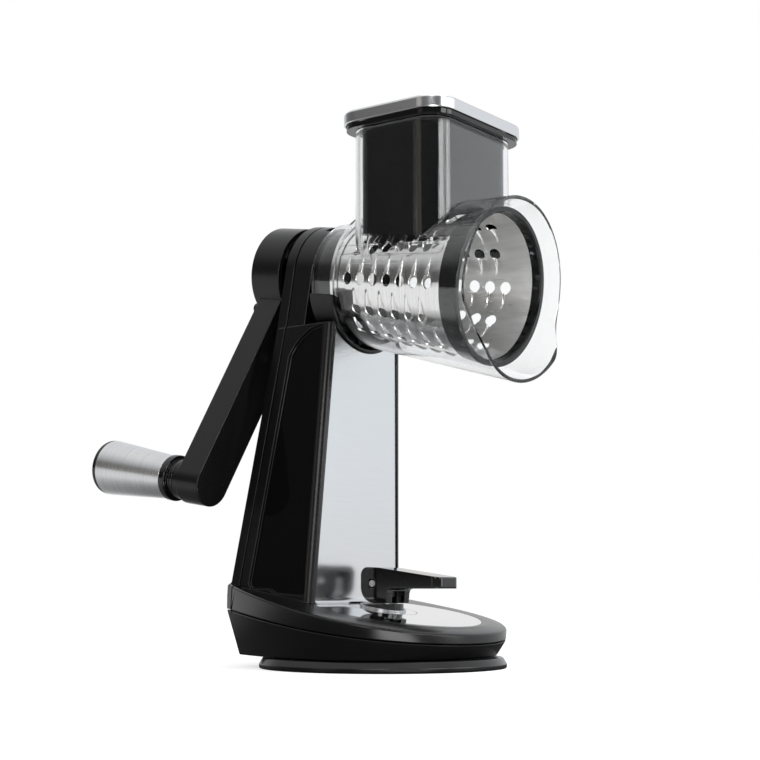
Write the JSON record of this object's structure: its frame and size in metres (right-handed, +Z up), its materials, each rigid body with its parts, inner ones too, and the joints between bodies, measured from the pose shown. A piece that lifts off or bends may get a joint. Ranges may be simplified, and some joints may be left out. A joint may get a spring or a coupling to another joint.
{
  "type": "rotary drum grater",
  "caption": "Hand cranked rotary drum grater on a suction base, with a clear hopper, a pusher and a forked suction lever.",
  "frame": {"origin": "on the table, under the middle of the whole grater's box", "axes": "+Z up, +X from the tower towards the drum's mouth, +Y to the side away from the leaning crank arm"},
  "size_m": [0.244, 0.143, 0.295],
  "materials": {
    "black_plastic": "fine textured black moulding",
    "gloss_black": "polished black moulding",
    "rubber": "soft matt black",
    "brushed_steel": "brushed stainless sheet",
    "drum_steel": "bright stainless sheet",
    "aluminium": "brushed aluminium",
    "clear_plastic": "clear glossy moulding",
    "zinc": "plated steel",
    "nylon": "plain nylon"
  },
  "bodies": {
    "stand": {"suction_cup": "rubber", "base_lower_shell": "black_plastic", "upper_shell": "black_plastic", "back_cover": "black_plastic", "steel_facing": "brushed_steel", "lever_seat": "brushed_steel", "front_bush": "nylon", "rear_bush": "nylon", "base_screw_1": "zinc", "base_screw_2": "zinc", "base_screw_3": "zinc", "base_screw_4": "zinc", "cover_screw_1": "zinc", "cover_screw_2": "zinc", "cover_screw_3": "zinc", "cover_screw_4": "zinc"},
    "stud": {"cup_stud": "zinc", "lever_pin": "zinc"},
    "lever": {"suction_lever": "gloss_black"},
    "crank": {"drive_shaft": "zinc", "shaft_clip": "zinc", "shaft_spacer": "nylon", "crank_arm": "black_plastic", "hub_screw": "zinc", "crank_knob": "gloss_black", "handle_spindle": "zinc"},
    "grip": {"grip_core": "gloss_black", "grip_sleeve": "aluminium", "grip_end_cap": "gloss_black"},
    "drum": {"drum_hub": "black_plastic", "drum_shell": "drum_steel", "drum_front_ring": "gloss_black"},
    "hopper": {"hopper_tube": "clear_plastic"},
    "pusher": {"pusher_body": "gloss_black", "pusher_lid": "brushed_steel"}
  },
  "joints": [
    {"name": "crank_turn", "type": "hinge", "parent": "stand", "child": "crank", "pos_m": [0.10736, 0.00155, 0.1981], "axis": [0.9873, 0, -0.159], "continuous": true},
    {"name": "grip_spin", "type": "hinge", "parent": "crank", "child": "grip", "pos_m": [-0.07109, -0.05615, 0.10266], "axis": [0.9873, 0, -0.159], "continuous": true},
    {"name": "drum_pull", "type": "slide", "parent": "crank", "child": "drum", "axis": [0.9873, 0, -0.159], "range_m": [0, 0.125]},
    {"name": "hopper_twist", "type": "hinge", "parent": "stand", "child": "hopper", "pos_m": [0.10736, 0.00155, 0.1981], "axis": [0.9873, 0, -0.159], "range_deg": [0, 24]},
    {"name": "pusher_lift", "type": "slide", "parent": "hopper", "child": "pusher", "axis": [0, 0, 1], "range_m": [0, 0.085]},
    {"name": "stud_drop", "type": "slide", "parent": "stand", "child": "stud", "axis": [0, 0, -1], "range_m": [0, 0.0032]},
    {"name": "lever_turn", "type": "hinge", "parent": "stud", "child": "lever", "pos_m": [0.03006, 0.00155, 0.0445], "axis": [0, -1, 0], "range_deg": [0, 90]}
  ],
  "couplings": [
    {"joint": "stud_drop", "follows": "lever_turn", "m_per_rad": 0.002037}
  ]
}
